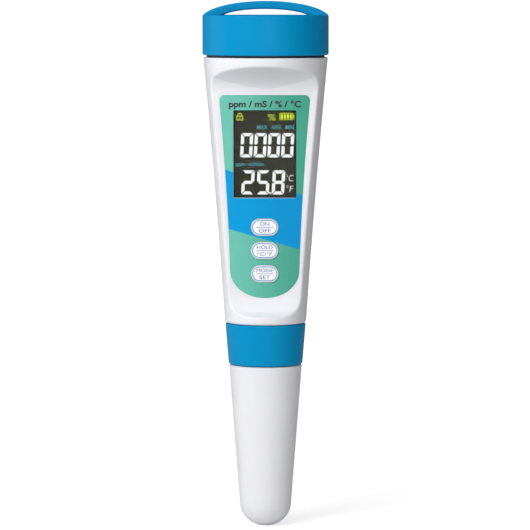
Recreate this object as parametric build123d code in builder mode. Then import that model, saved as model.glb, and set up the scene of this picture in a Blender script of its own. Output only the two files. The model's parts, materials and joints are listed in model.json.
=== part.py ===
"""A hand-held water quality test pen, in millimetres.

The pen stands upright along Z with the tip of its protective cap at the origin,
and its label faces -Y. From the top it has a screwed battery cap with a lanyard
bail, a tapered casing with a flat face, a threaded collar that holds the probe,
and a pull-off cap over the probe.
"""
import os
from math import cos, hypot, radians, sin

from build123d import *

# Walls and running clearances
casing_wall = 2.0
protective_cap_wall = 1.8
thread_clearance = 0.35
loose_clearance = 0.2
close_clearance = 0.05
key_clearance = 0.12

# Window, lens and display
window_width = 22.4
window_height = 31.2
lens_side_margin = 1.3
lens_end_margin = 1.4
lens_thickness = 0.95
lens_corner_radius = 0.8
display_side_margin = 1.4
display_end_margin = 1.7
display_thickness = 2.0
display_holder_wall = 0.9
display_lip = 0.3
display_lip_reach = 0.5
backlight_thickness = 1.0
backlight_cutback = 5.6
contact_strip_inset = 1.6
contact_strip_thickness = 1.8
contact_strip_rise = 1.6

lens_width = window_width + 2 * lens_side_margin
lens_height = window_height + 2 * lens_end_margin
display_width = window_width + 2 * display_side_margin
display_height = window_height + 2 * display_end_margin
backlight_height = display_height - backlight_cutback
contact_strip_width = display_width - 2 * contact_strip_inset

# Keys, down the face from the centre of the window
key_names = ("power", "hold", "mode")
key_width = 9.8
key_height = 6.1
key_proud = 0.5
key_flange_margin = 0.8
key_flange_gap = 0.6
key_flange_thickness = 0.6
key_edge_round = 0.3
key_travel = 0.35
key_setoff = 10.4

key_pitch = key_height + 2 * key_flange_margin + key_flange_gap
first_key_drop = window_height / 2 + key_setoff
key_heights = [-first_key_drop - key_pitch * row for row in range(len(key_names))]

# Label, by how far it runs past the window and the last key
label_thickness = 0.3
label_recess = 0.25
label_gap = 0.1
label_head_margin = 5.3
label_shoulder_rise = 1.1
label_end_depth = 9.8
label_corner_radius = 1.8
label_top_margin = 5.0
label_middle_margin = 2.55
label_shoulder_margin = 1.05

label_top = window_height / 2 + label_head_margin
label_shoulder = key_heights[-1] + label_shoulder_rise
label_top_half_width = window_width / 2 + label_top_margin
label_middle_half_width = window_width / 2 + label_middle_margin
label_shoulder_half_width = window_width / 2 + label_shoulder_margin

# Button cells, and the well that takes both them and the display
cell_radius = 5.8
cell_height = 5.4
cell_step = 0.5
cell_step_inset = 1.1
cell_gap = 1.2
cell_setback = 3.0
pocket_wall = 1.0
battery_well_margin = 2.8
display_side_room = 5.0
battery_well_depth = 1.8
holder_flange_inset = 0.8
holder_flange_thickness = 0.8
holder_floor = 1.6
holder_recess = 0.6
leaf_thickness = 0.3
leaf_rise = 1.0
leaf_width = 3.0
leaf_length = 9.0
contact_disc_width = 10.0
contact_disc_thickness = 0.4
contact_bead_height = 1.0

cell_spacing = 2 * cell_radius + cell_gap
pocket_radius = cell_radius + loose_clearance
battery_well_radius = max(
    cell_spacing / 2 + pocket_radius + pocket_wall + battery_well_margin,
    window_width / 2 + display_side_room,
)

# Radii, from the cells and the window outwards
upper_neck_wall = 2.2
casing_shoulder = 3.8
battery_cap_overhang = 0.3
dish_lip_width = 4.1
bail_leg_inset = 1.5
spigot_inset = 0.5
neck_seat = 1.2
lower_neck_wall = 2.1
casing_foot_shoulder = 2.6
collar_wall = 2.5
protective_cap_rim_wall = 2.3
guard_setback = 2.9
guard_to_tip = 0.76
casing_bow = 0.37

upper_neck_radius = battery_well_radius + upper_neck_wall
holder_flange_radius = upper_neck_radius - holder_flange_inset
casing_top_radius = upper_neck_radius + casing_shoulder
battery_cap_radius = casing_top_radius + battery_cap_overhang
dish_radius = battery_cap_radius - dish_lip_width
bail_opening_half_width = dish_radius - bail_leg_inset
spigot_radius = window_width / 2 - spigot_inset
lower_neck_radius = spigot_radius + neck_seat
lower_neck_bore = lower_neck_radius - lower_neck_wall
casing_foot_radius = lower_neck_radius + casing_foot_shoulder
collar_top_radius = lower_neck_radius + collar_wall
collar_foot_radius = spigot_radius + collar_wall
protective_cap_rim_radius = spigot_radius + protective_cap_rim_wall
guard_radius = spigot_radius - guard_setback
protective_cap_tip_radius = guard_radius + guard_to_tip

# The flat face, measured from the centre of the display window
face_depth = 8.95
face_lean = 1.0
face_head_margin = 1.3
face_foot_rise = 0.4
brow_height = 9.1
brow_inset = 0.65
ledge_overrun = 0.95
face_edge_round = 0.9

face_top = label_top + face_head_margin
face_bottom = label_shoulder - label_end_depth + face_foot_rise
brow_depth = casing_top_radius - face_depth - brow_inset
ledge_radius = casing_foot_radius - face_depth + ledge_overrun

# Probe module
flange_thickness = 2.0
seal_thickness = 0.8
seal_inset = 0.2
lip_bore_clearance = 0.3
spigot_length = 12.7
spigot_edge_round = 0.6
oring_section = 1.8
oring_drop = 3.6
plug_radius = 6.0
plug_length = 6.3
pin_radius = 0.5
pin_circle = 3.2
pin_rise = 4.6
socket_flange_width = 1.6
socket_flange_thickness = 1.5
socket_gap = 0.4
stem_length = 14.0
guard_wall = 1.3
guard_length = 28.0
guard_window_width = 5.0
guard_window_height = 11.0
guard_window_rise = 3.0
guard_edge_round = 0.8
electrode_radius = 1.0
electrode_inset = 1.9
electrode_length = 10.5
sensor_inset = 1.3
sensor_angle = 45.0
sensor_length = 8.5

socket_flange_radius = lower_neck_bore + socket_flange_width
stem_radius = guard_radius - guard_wall - loose_clearance
electrode_offset = stem_radius - electrode_inset
sensor_offset = stem_radius - sensor_inset

# Lengths along the pen, from its tip
guard_floor_gap = 20.0
collar_gap = 0.3
collar_height = 14.6
collar_lip = 2.3
collar_seam = 0.2
casing_foot_band = 3.2
casing_rim_band = 2.9
cavity_floor_height = 2.6
gasket_thickness = 0.8
battery_cap_height = 14.2
dish_depth = 3.0
ceiling_thickness = 2.0
neck_headroom = 2.0
bail_rise = 5.0

protective_cap_length = guard_floor_gap + guard_length + spigot_length - collar_lip - collar_gap
lower_neck_length = collar_height + collar_seam - collar_lip - flange_thickness - seal_thickness
face_level = casing_foot_band + ledge_radius - face_bottom
casing_length = face_level + face_top + brow_height + casing_rim_band
upper_neck_height = (
    gasket_thickness + battery_cap_height - dish_depth - ceiling_thickness - neck_headroom
)
protective_cap_rim = protective_cap_length
collar_foot = protective_cap_rim + collar_gap
casing_foot = collar_foot + collar_height + collar_seam
casing_top = casing_foot + casing_length
battery_cap_foot = casing_top + gasket_thickness
battery_cap_rim = battery_cap_foot + battery_cap_height
bail_crown = battery_cap_rim + bail_rise

# Protective cap
tip_flat = 0.26
cap_bore_clearance = 0.2
cap_bore_run = 0.8
cap_floor = 2.2
cap_floor_blend = 0.1
cap_rim_chamfer = 0.3

tip_round = protective_cap_tip_radius - tip_flat
cap_floor_round = tip_round - cap_floor - cap_floor_blend
cap_bore_depth = spigot_length - collar_lip - collar_gap + cap_bore_run

# Edges outside
casing_foot_round = 0.9
casing_top_round = 0.4
battery_cap_rim_round = 0.6
battery_cap_foot_chamfer = 0.4
collar_chamfer = 0.4

# Circuit board and chassis behind the face, as depths below it
board_depth = 5.6
board_side_inset = 0.7
board_thickness = 1.6
board_foot_gap = 0.4
board_head_gap = 3.0
chassis_thickness = 1.5
chassis_lip = 0.9
chassis_rail_width = 4.0
chassis_rung = 9.0
chip_width = 9.0
chip_thickness = 1.3
switch_width = 6.0
switch_height = 2.2
plunger_radius = 1.6
plunger_height = 1.2
screw_radius = 1.0
screw_head_radius = 1.9
screw_head_height = 1.2
screw_inset = 2.3
screw_drop = 2.8

board_width = window_width - 2 * board_side_inset
chassis_window_width = board_width - 2 * chassis_rail_width
screw_offset = board_width / 2 - screw_inset

# Battery cap's dish, bail and gasket
dish_round = 1.2
dish_lip_round = 0.5
bail_width = 9.0
bail_overhang = 0.5
bail_spring = 1.7
bail_opening_rise = 3.8
bail_edge_round = 0.7
gasket_inset = 1.15

# How far a cutting shape runs past what it cuts, and how near a match must be
overshoot = 10.0
match_tolerance = 0.01

os.makedirs("parts", exist_ok=True)


def save(piece, name):
    """Label a finished piece and write it to its own file."""
    piece.part.label = name
    export_step(piece.part, f"parts/{name}.step")


def taper_sketch(inset):
    """Half section of the casing's bowed taper, drawn in by an inset."""
    middle_radius = (casing_top_radius + casing_foot_radius) / 2 - 2 * casing_bow
    with BuildSketch(Plane.XZ) as section:
        with BuildLine():
            side = Bezier(
                (casing_foot_radius - inset, casing_foot),
                (middle_radius - inset, casing_foot + casing_length / 2),
                (casing_top_radius - inset, casing_top),
            )
            Polyline(side @ 1, (0, casing_top), (0, casing_foot), side @ 0)
        make_face()
    return section.sketch


# The face plane: x to the right, y up the face, z out of it
lean = radians(face_lean)
face_origin = (0, -face_depth, casing_foot + face_level)
outward = (0, -cos(lean), -sin(lean))
face = Plane(origin=face_origin, x_dir=(1, 0, 0), z_dir=outward)
# The face seen from the side: x out of it, y up it
face_side = Plane(origin=face_origin, x_dir=outward, z_dir=(-1, 0, 0))


def below_face(depth):
    """The face plane moved into the pen by a depth."""
    return face.offset(-depth)


def face_height(level):
    """Distance up the face, from the window's centre, of a level on the axis."""
    return (level - casing_foot - face_level) / cos(lean)


cavity_floor = casing_foot + cavity_floor_height
well_floor = casing_top - battery_well_depth
neck_top = casing_top + upper_neck_height


def label_outline(margin):
    """The label's outline, grown all round by a margin."""
    with BuildLine() as outline:
        side = ThreePointArc(
            (label_shoulder_half_width + margin, label_shoulder),
            (label_middle_half_width + margin, (label_top + label_shoulder) / 2),
            (label_top_half_width + margin, label_top + margin),
        )
        Line(side @ 1, (0, label_top + margin))
        end = EllipticalCenterArc(
            (0, label_shoulder),
            label_shoulder_half_width + margin,
            label_end_depth + margin,
            start_angle=270,
            arc_size=90,
        )
        Line((0, label_top + margin), end @ 0)
    return outline.line


def label_sketch(plane, margin):
    """The label's whole face on a plane, with its two top corners rounded."""
    with BuildSketch(plane) as shape:
        with BuildLine():
            add(label_outline(margin))
        make_face()
        mirror(about=Plane.YZ)
        corners = shape.vertices(Select.ALL).sort_by(Axis.Y)[-2:]
        fillet(corners, label_corner_radius + margin)
    return shape.sketch


def face_openings():
    """The window and the key openings, as one sketch on the face."""
    with BuildSketch() as openings:
        Rectangle(window_width, window_height)
        with Locations(*[(0, height) for height in key_heights]):
            SlotOverall(key_width + 2 * key_clearance, key_height + 2 * key_clearance)
    return openings.sketch


# Casing: a bowed taper with a flat face let into its front
with BuildPart() as cavity:
    revolve(taper_sketch(casing_wall), axis=Axis.Z)
    with BuildSketch(Plane.XY.offset(cavity_floor)):
        Circle(battery_well_radius)
    extrude(amount=well_floor - cavity_floor, mode=Mode.INTERSECT)
    split(bisect_by=below_face(casing_wall), keep=Keep.BOTTOM)

with BuildPart() as casing:
    revolve(taper_sketch(0), axis=Axis.Z)
    fillet(casing.edges().filter_by(GeomType.CIRCLE).sort_by(Axis.Z)[-1], casing_top_round)
    # The brow under the rim and the ledge at the foot are swept arcs
    with BuildSketch(face_side.offset(-2 * casing_top_radius)):
        with BuildLine():
            brow = EllipticalCenterArc(
                (brow_depth, face_top), brow_depth, brow_height, start_angle=90, arc_size=90
            )
            Line((0, face_top), (0, face_bottom))
            ledge = CenterArc((ledge_radius, face_bottom), ledge_radius, 180, 90)
            Polyline(
                ledge @ 1,
                (brow_depth + overshoot, face_bottom - ledge_radius),
                (brow_depth + overshoot, face_top + brow_height),
                brow @ 0,
            )
        make_face()
    extrude(amount=4 * casing_top_radius, mode=Mode.SUBTRACT)
    fillet(casing.edges().filter_by(GeomType.BSPLINE), face_edge_round)
    fillet(casing.edges().filter_by(GeomType.CIRCLE).sort_by(Axis.Z)[0], casing_foot_round)
    add(cavity.part, mode=Mode.SUBTRACT)
    with BuildSketch(Plane.XY.offset(casing_top)):
        Circle(upper_neck_radius)
    extrude(amount=upper_neck_height)
    with BuildSketch(Plane.XY.offset(neck_top)):
        Circle(battery_well_radius)
    extrude(amount=well_floor - neck_top, mode=Mode.SUBTRACT)
    with BuildSketch(Plane.XY.offset(casing_foot)):
        Circle(lower_neck_radius)
    extrude(amount=-lower_neck_length)
    with BuildSketch(Plane.XY.offset(casing_foot - lower_neck_length)):
        Circle(lower_neck_bore)
    extrude(amount=lower_neck_length + cavity_floor_height, mode=Mode.SUBTRACT)
    # Recess for the label, seat for the lens, window and key openings
    add(
        extrude(label_sketch(face, label_gap), amount=-label_recess, mode=Mode.PRIVATE),
        mode=Mode.SUBTRACT,
    )
    with BuildSketch(below_face(label_recess)):
        RectangleRounded(
            lens_width + 2 * label_gap, lens_height + 2 * label_gap, lens_corner_radius + label_gap
        )
    extrude(amount=-(lens_thickness + close_clearance), mode=Mode.SUBTRACT)
    with BuildSketch(face.offset(overshoot)):
        add(face_openings())
    extrude(amount=-2 * overshoot, mode=Mode.SUBTRACT)
save(casing, "casing")

# Label: a printed film over the face, open at the window and the keys
with BuildPart() as face_label:
    add(
        extrude(
            label_sketch(below_face(label_recess), 0), amount=label_thickness, mode=Mode.PRIVATE
        )
    )
    with BuildSketch(face.offset(overshoot)):
        add(face_openings())
    extrude(amount=-2 * overshoot, mode=Mode.SUBTRACT)
save(face_label, "face_label")

# Clear window lens, bonded in its seat behind the label
with BuildPart() as window_lens:
    with BuildSketch(below_face(label_recess)):
        RectangleRounded(lens_width, lens_height, lens_corner_radius)
    extrude(amount=-lens_thickness)
save(window_lens, "window_lens")

# Keys: pill-shaped caps held behind the face by a flange, each over its switch
out_of_face = Axis(origin=face_origin, direction=outward)
flange_front = casing_wall + close_clearance
plunger_top = flange_front + key_flange_thickness
switch_top = board_depth - switch_height
for name, height in zip(key_names, key_heights):
    with BuildPart() as key:
        with BuildSketch(below_face(flange_front)):
            with Locations((0, height)):
                SlotOverall(key_width, key_height)
        extrude(amount=flange_front + key_proud)
        fillet(key.faces().sort_by(out_of_face)[-1].edges(), key_edge_round)
        with BuildSketch(below_face(flange_front)):
            with Locations((0, height)):
                SlotOverall(
                    key_width + 2 * key_flange_margin, key_height + 2 * key_flange_margin
                )
        extrude(amount=-key_flange_thickness)
    save(key, f"{name}_key")

    with BuildPart() as plunger:
        with BuildSketch(below_face(plunger_top)):
            with Locations((0, height)):
                Circle(plunger_radius)
        extrude(amount=-plunger_height)
    save(plunger, f"{name}_plunger")

    with BuildPart() as switch:
        with BuildSketch(below_face(board_depth)):
            with Locations((0, height)):
                Rectangle(switch_width, switch_width)
        extrude(amount=switch_height)
        with BuildSketch(below_face(switch_top)):
            with Locations((0, height)):
                Circle(plunger_radius + close_clearance)
        well = plunger_top + plunger_height + key_travel + close_clearance - switch_top
        extrude(amount=-well, mode=Mode.SUBTRACT)
    save(switch, f"{name}_switch")

# Display: glass and backlight in a frame, with an elastic strip to the board
display_front = casing_wall + close_clearance + display_lip
display_back = display_front + display_thickness
with BuildPart() as display_frame:
    with BuildSketch(below_face(casing_wall + close_clearance)):
        RectangleRounded(
            display_width + 2 * display_holder_wall,
            display_height + 2 * display_holder_wall,
            lens_corner_radius,
        )
    extrude(amount=-(board_depth - casing_wall - close_clearance))
    with BuildSketch(below_face(display_front)):
        Rectangle(display_width + 2 * close_clearance, display_height + 2 * close_clearance)
    extrude(amount=-board_depth, mode=Mode.SUBTRACT)
    with BuildSketch(face):
        Rectangle(window_width + 2 * display_lip_reach, window_height + 2 * display_lip_reach)
    extrude(amount=-board_depth, mode=Mode.SUBTRACT)
save(display_frame, "display_frame")

with BuildPart() as display_glass:
    with BuildSketch(below_face(display_front)):
        Rectangle(display_width, display_height)
    extrude(amount=-display_thickness)
save(display_glass, "display_glass")

with BuildPart() as backlight:
    with BuildSketch(below_face(display_back)):
        with Locations((0, (display_height - backlight_height) / 2)):
            Rectangle(display_width, backlight_height)
    extrude(amount=-backlight_thickness)
save(backlight, "backlight")

with BuildPart() as contact_strip:
    with BuildSketch(below_face(display_back)):
        with Locations((0, contact_strip_rise - display_height / 2)):
            Rectangle(contact_strip_width, contact_strip_thickness)
    extrude(amount=-(board_depth - display_back))
save(contact_strip, "contact_strip")

# Battery compartment levels, from the cap's ceiling down
ceiling = battery_cap_rim - dish_depth - ceiling_thickness
contact_disc_foot = ceiling - contact_disc_thickness
cell_top = contact_disc_foot - contact_bead_height - close_clearance
cell_foot = cell_top - 2 * cell_height
pocket_floor = cell_foot - leaf_rise - close_clearance
holder_foot = pocket_floor - holder_floor
cell_places = [(-cell_spacing / 2, cell_setback), (cell_spacing / 2, cell_setback)]
bead_circle = hypot(cell_spacing / 2, cell_setback)

with BuildPart() as battery_holder:
    with BuildSketch(Plane.XY.offset(holder_foot)):
        with Locations((0, cell_setback)):
            SlotCenterToCenter(cell_spacing, 2 * (pocket_radius + pocket_wall))
    extrude(amount=well_floor + loose_clearance - holder_foot)
    with BuildSketch(Plane.XY.offset(well_floor + loose_clearance)):
        Circle(battery_well_radius - loose_clearance)
    extrude(amount=neck_top - well_floor - loose_clearance)
    with BuildSketch(Plane.XY.offset(neck_top)):
        Circle(holder_flange_radius)
    extrude(amount=holder_flange_thickness)
    with BuildSketch(Plane.XY.offset(pocket_floor)):
        with Locations(*cell_places):
            Circle(pocket_radius)
    extrude(amount=neck_top + overshoot - pocket_floor, mode=Mode.SUBTRACT)
    with BuildSketch(Plane.XY.offset(neck_top + holder_flange_thickness - holder_recess)):
        Circle(bead_circle + contact_disc_width / 2 + loose_clearance)
    extrude(amount=overshoot, mode=Mode.SUBTRACT)
save(battery_holder, "battery_holder")

# Button cells: two stacks of two, one stack upside down
for column, place in enumerate(cell_places):
    for row in range(2):
        foot = cell_foot + row * cell_height
        can_foot = foot + cell_step * column
        cap_foot = foot + (cell_height - cell_step) * (1 - column)
        with BuildPart() as cell:
            with BuildSketch(Plane.XY.offset(can_foot)):
                with Locations(place):
                    Circle(cell_radius)
            extrude(amount=cell_height - cell_step)
            with BuildSketch(Plane.XY.offset(cap_foot)):
                with Locations(place):
                    Circle(cell_radius - cell_step_inset)
            extrude(amount=cell_step)
        save(cell, f"cell_{2 * column + row + 1}")

with BuildPart() as battery_leaves:
    with BuildSketch(Plane.XZ.offset(-cell_setback)):
        with Locations(*[(place[0], pocket_floor) for place in cell_places]):
            with BuildLine(mode=Mode.PRIVATE) as leaf_line:
                crest = ThreePointArc(
                    (-leaf_length / 2, leaf_thickness), (0, leaf_rise), (leaf_length / 2, leaf_thickness)
                )
                hollow = ThreePointArc(
                    (leaf_length / 2 - leaf_thickness, 0),
                    (0, leaf_rise - leaf_thickness),
                    (leaf_thickness - leaf_length / 2, 0),
                )
                Polyline(crest @ 1, (leaf_length / 2, 0), hollow @ 0)
                Polyline(hollow @ 1, (-leaf_length / 2, 0), crest @ 0)
            add(make_face(leaf_line.edges(), mode=Mode.PRIVATE))
    extrude(amount=leaf_width / 2, both=True)
save(battery_leaves, "battery_leaves")

# Circuit board on a ladder-shaped chassis that hangs under the battery holder
socket_floor = cavity_floor + socket_flange_thickness
board_foot = face_height(socket_floor + board_foot_gap)
board_head = face_height(holder_foot - board_head_gap)
chassis_head = face_height(holder_foot - board_foot_gap)
board_length = board_head - board_foot
chassis_length = chassis_head - board_foot
board_center = (board_foot + board_head) / 2
chassis_center = (board_foot + chassis_head) / 2
board_back = board_depth + board_thickness
chassis_width = board_width + 2 * (chassis_lip + close_clearance)
screw_places = [
    (side * screw_offset, height)
    for side in (-1, 1)
    for height in (board_head - screw_drop, board_foot + screw_drop)
]
hole_radius = screw_radius + close_clearance

with BuildPart() as board:
    with BuildSketch(below_face(board_depth)):
        with Locations((0, board_center)):
            Rectangle(board_width, board_length)
        with Locations(*screw_places):
            Circle(hole_radius, mode=Mode.SUBTRACT)
    extrude(amount=-board_thickness)
save(board, "circuit_board")

with BuildPart() as chassis:
    with BuildSketch(below_face(board_back)):
        with Locations((0, chassis_center)):
            Rectangle(chassis_width, chassis_length)
            Rectangle(
                chassis_window_width, chassis_length - 2 * chassis_rung, mode=Mode.SUBTRACT
            )
        with Locations(*screw_places):
            Circle(hole_radius, mode=Mode.SUBTRACT)
    extrude(amount=-chassis_thickness)
    with BuildSketch(below_face(board_back)):
        for side in (-1, 1):
            with Locations((side * (chassis_width - chassis_lip) / 2, board_center)):
                Rectangle(chassis_lip, board_length)
    extrude(amount=board_thickness)
save(chassis, "chassis")

with BuildPart() as chip:
    with BuildSketch(below_face(board_back)):
        with Locations((0, -first_key_drop)):
            Rectangle(chip_width, chip_width)
    extrude(amount=-chip_thickness)
save(chip, "processor_chip")

with BuildPart() as board_screws:
    with BuildSketch(below_face(board_depth)):
        with Locations(*screw_places):
            Circle(screw_head_radius)
    extrude(amount=screw_head_height)
    with BuildSketch(below_face(board_depth)):
        with Locations(*screw_places):
            Circle(screw_radius)
    extrude(amount=-(board_thickness + chassis_thickness))
save(board_screws, "board_screws")

# Battery cap: a dished top under a lanyard bail, and a bore for the neck
cap_bore = upper_neck_radius + thread_clearance
bail_foot = battery_cap_rim - bail_spring
with BuildPart() as bail:
    with BuildSketch(Plane.XZ.offset(-bail_width / 2)):
        with BuildLine():
            outer_arch = EllipticalCenterArc(
                (0, bail_foot),
                battery_cap_radius + bail_overhang,
                bail_rise + bail_spring,
                start_angle=0,
                arc_size=180,
            )
            inner_arch = EllipticalCenterArc(
                (0, bail_foot), bail_opening_half_width, bail_opening_rise, start_angle=0, arc_size=180
            )
            for side in (0, 1):
                Polyline(
                    outer_arch @ side,
                    ((outer_arch @ side).X, battery_cap_rim - dish_depth - ceiling_thickness / 2),
                    ((inner_arch @ side).X, battery_cap_rim - dish_depth - ceiling_thickness / 2),
                    inner_arch @ side,
                )
        make_face()
    extrude(amount=bail_width)
    fillet(bail.edges().filter_by(GeomType.ELLIPSE), bail_edge_round)
    with BuildSketch(Plane.XY.offset(ceiling)):
        Circle(battery_cap_radius)
    extrude(amount=bail_crown - ceiling, mode=Mode.INTERSECT)

with BuildPart() as battery_cap:
    with BuildSketch(Plane.XY.offset(battery_cap_foot)):
        Circle(battery_cap_radius)
    extrude(amount=battery_cap_height)
    fillet(battery_cap.edges().sort_by(Axis.Z)[-1], battery_cap_rim_round)
    chamfer(battery_cap.edges().sort_by(Axis.Z)[0], battery_cap_foot_chamfer)
    with BuildSketch(Plane.XY.offset(battery_cap_rim)):
        Circle(dish_radius)
    extrude(amount=-dish_depth, mode=Mode.SUBTRACT)
    dish_edges = battery_cap.edges().filter_by(
        lambda edge: edge.geom_type == GeomType.CIRCLE
        and abs(edge.radius - dish_radius) < match_tolerance
    )
    fillet(dish_edges.sort_by(Axis.Z)[0], dish_round)
    fillet(dish_edges.sort_by(Axis.Z)[-1], dish_lip_round)
    with BuildSketch(Plane.XY.offset(battery_cap_foot)):
        Circle(cap_bore)
    extrude(amount=ceiling - battery_cap_foot, mode=Mode.SUBTRACT)
    add(bail.part)
save(battery_cap, "battery_cap")

with BuildPart() as cap_gasket:
    with BuildSketch(Plane.XY.offset(casing_top)):
        Circle(casing_top_radius - gasket_inset)
        Circle(cap_bore, mode=Mode.SUBTRACT)
    extrude(amount=gasket_thickness)
save(cap_gasket, "cap_gasket")

# Round bridging contact, beaded where it meets both stacks at any angle
with BuildPart() as cap_contact:
    with BuildSketch(Plane.XZ):
        with Locations((bead_circle, contact_disc_foot)):
            Rectangle(
                contact_disc_width, contact_disc_thickness, align=(Align.CENTER, Align.MIN)
            )
        with BuildLine():
            bead = ThreePointArc(
                (bead_circle - contact_bead_height, contact_disc_foot),
                (bead_circle, contact_disc_foot - contact_bead_height),
                (bead_circle + contact_bead_height, contact_disc_foot),
            )
            Line(bead @ 1, bead @ 0)
        make_face()
    revolve(axis=Axis.Z)
save(cap_contact, "cap_contact")

# Probe module: plug, flange, spigot and sensing stem
neck_foot = casing_foot - lower_neck_length
flange_top = neck_foot - seal_thickness
flange_foot = flange_top - flange_thickness
spigot_foot = flange_foot - spigot_length
plug_top = flange_top + plug_length
stem_foot = spigot_foot - stem_length
cap_bore_radius = spigot_radius + cap_bore_clearance
oring_radius = cap_bore_radius - close_clearance - oring_section / 2
oring_level = protective_cap_rim - oring_drop
groove_radius = oring_radius - oring_section / 2 - close_clearance

with BuildPart() as probe_body:
    with BuildSketch(Plane.XY.offset(flange_foot)):
        Circle(lower_neck_radius)
    extrude(amount=flange_thickness)
    with BuildSketch(Plane.XY.offset(flange_top)):
        Circle(plug_radius)
    extrude(amount=plug_length)
    with BuildSketch(Plane.XY.offset(spigot_foot)):
        Circle(spigot_radius)
    extrude(amount=spigot_length)
    fillet(probe_body.edges().sort_by(Axis.Z)[0], spigot_edge_round)
    with BuildSketch(Plane.XY.offset(oring_level)):
        Circle(spigot_radius)
        Circle(groove_radius, mode=Mode.SUBTRACT)
    extrude(amount=oring_section / 2 + close_clearance, both=True, mode=Mode.SUBTRACT)
    with BuildSketch(Plane.XY.offset(stem_foot)):
        Circle(stem_radius)
    extrude(amount=stem_length)
save(probe_body, "probe_body")

with BuildPart() as probe_pins:
    with BuildSketch(Plane.XY.offset(plug_top)):
        with PolarLocations(pin_circle, 4):
            Circle(pin_radius)
    extrude(amount=pin_rise)
save(probe_pins, "probe_pins")

with BuildPart() as probe_seal:
    with BuildSketch(Plane.XY.offset(flange_top)):
        Circle(lower_neck_radius - seal_inset)
        Circle(lower_neck_bore + seal_inset, mode=Mode.SUBTRACT)
    extrude(amount=seal_thickness)
save(probe_seal, "probe_seal")

with BuildPart() as cap_oring:
    with BuildSketch(Plane.XZ):
        with Locations((oring_radius, oring_level)):
            Circle(oring_section / 2)
    revolve(axis=Axis.Z)
save(cap_oring, "spigot_oring")

with BuildPart() as probe_guard:
    with BuildSketch(Plane.XY.offset(spigot_foot)):
        Circle(guard_radius)
    extrude(amount=-guard_length)
    fillet(probe_guard.edges().sort_by(Axis.Z)[0], guard_edge_round)
    with BuildSketch(Plane.XY.offset(spigot_foot)):
        Circle(guard_radius - guard_wall)
    extrude(amount=-guard_length, mode=Mode.SUBTRACT)
    guard_foot = spigot_foot - guard_length
    with BuildSketch(Plane.XZ.offset(-guard_radius)):
        with Locations((0, guard_foot + guard_window_rise + guard_window_height / 2)):
            SlotOverall(guard_window_height, guard_window_width, rotation=90)
    extrude(amount=2 * guard_radius, mode=Mode.SUBTRACT)
save(probe_guard, "probe_guard")

with BuildPart() as electrodes:
    with BuildSketch(Plane.XY.offset(stem_foot)):
        with Locations((-electrode_offset, 0), (electrode_offset, 0)):
            Circle(electrode_radius)
    extrude(amount=-electrode_length)
save(electrodes, "electrodes")

with BuildPart() as temperature_sensor:
    with BuildSketch(Plane.XY.offset(stem_foot)):
        with PolarLocations(sensor_offset, 1, start_angle=sensor_angle):
            Circle(electrode_radius)
    extrude(amount=-sensor_length)
    fillet(temperature_sensor.edges().sort_by(Axis.Z)[0], electrode_radius / 2)
save(temperature_sensor, "temperature_sensor")

# Socket in the casing's foot that the probe plugs into
socket_foot = plug_top + socket_gap
with BuildPart() as probe_socket:
    with BuildSketch(Plane.XY.offset(cavity_floor)):
        Circle(socket_flange_radius)
    extrude(amount=socket_flange_thickness)
    split(bisect_by=below_face(casing_wall + loose_clearance), keep=Keep.BOTTOM)
    with BuildSketch(Plane.XY.offset(socket_foot)):
        Circle(lower_neck_bore - loose_clearance)
    extrude(amount=cavity_floor - socket_foot)
    with BuildSketch(Plane.XY.offset(socket_foot)):
        with PolarLocations(pin_circle, 4):
            Circle(pin_radius + loose_clearance)
    extrude(amount=pin_rise, mode=Mode.SUBTRACT)
save(probe_socket, "probe_socket")

# Threaded collar: it screws on the lower neck and clamps the probe's flange
collar_top = casing_foot - collar_seam
lip_top = flange_foot - close_clearance
collar_bore = lower_neck_radius + thread_clearance
collar_lip_bore = spigot_radius + lip_bore_clearance
with BuildPart() as collar:
    with BuildSketch(Plane.XZ):
        with BuildLine():
            Polyline(
                (collar_lip_bore, collar_foot),
                (collar_foot_radius, collar_foot),
                (collar_top_radius, collar_top),
                (collar_bore, collar_top),
                (collar_bore, lip_top),
                (collar_lip_bore, lip_top),
                close=True,
            )
        make_face()
    revolve(axis=Axis.Z)
    rims = collar.edges().filter_by(
        lambda edge: edge.geom_type == GeomType.CIRCLE
        and edge.radius > collar_bore + match_tolerance
    )
    chamfer(rims, collar_chamfer)
save(collar, "collar")

# Protective cap: a tapered cup with a round tip
cap_slope = (protective_cap_rim_radius - protective_cap_tip_radius) / protective_cap_length


def protective_cap_radius(level):
    """Outside radius of the protective cap's straight taper at a level."""
    return protective_cap_tip_radius + cap_slope * level


bore_foot = protective_cap_rim - cap_bore_depth
with BuildPart() as protective_cap:
    with BuildSketch(Plane.XZ) as cup:
        with BuildLine():
            Polyline(
                (0, 0),
                (protective_cap_tip_radius, 0),
                (protective_cap_rim_radius, protective_cap_rim),
                (cap_bore_radius, protective_cap_rim),
                (cap_bore_radius, bore_foot),
                (protective_cap_radius(bore_foot) - protective_cap_wall, bore_foot),
                (protective_cap_radius(cap_floor) - protective_cap_wall, cap_floor),
                (0, cap_floor),
                close=True,
            )
        make_face()
        low = cup.vertices().sort_by(Axis.Y)
        fillet(low.filter_by_position(Axis.Y, -1, 1).sort_by(Axis.X)[-1], tip_round)
        floor = cup.vertices().filter_by_position(
            Axis.Y, cap_floor - match_tolerance, cap_floor + match_tolerance
        )
        fillet(floor.sort_by(Axis.X)[-1], cap_floor_round)
        rim = cup.vertices().sort_by(Axis.Y)[-2:]
        chamfer(rim, cap_rim_chamfer)
    revolve(axis=Axis.Z)
save(protective_cap, "protective_cap")
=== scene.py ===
# %% [markdown]
# # A water quality test pen
# The pen stands upright on the tip of its protective cap, with its label towards -Y.
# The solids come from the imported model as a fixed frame. This file gives them their
# finishes, and models what the solids leave out: screw threads, the printed label,
# the key legends and what the display shows.

# %% Load the frame
import json
import math
from contextlib import contextmanager

import bmesh
import bpy
from mathutils import Matrix, Vector


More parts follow.
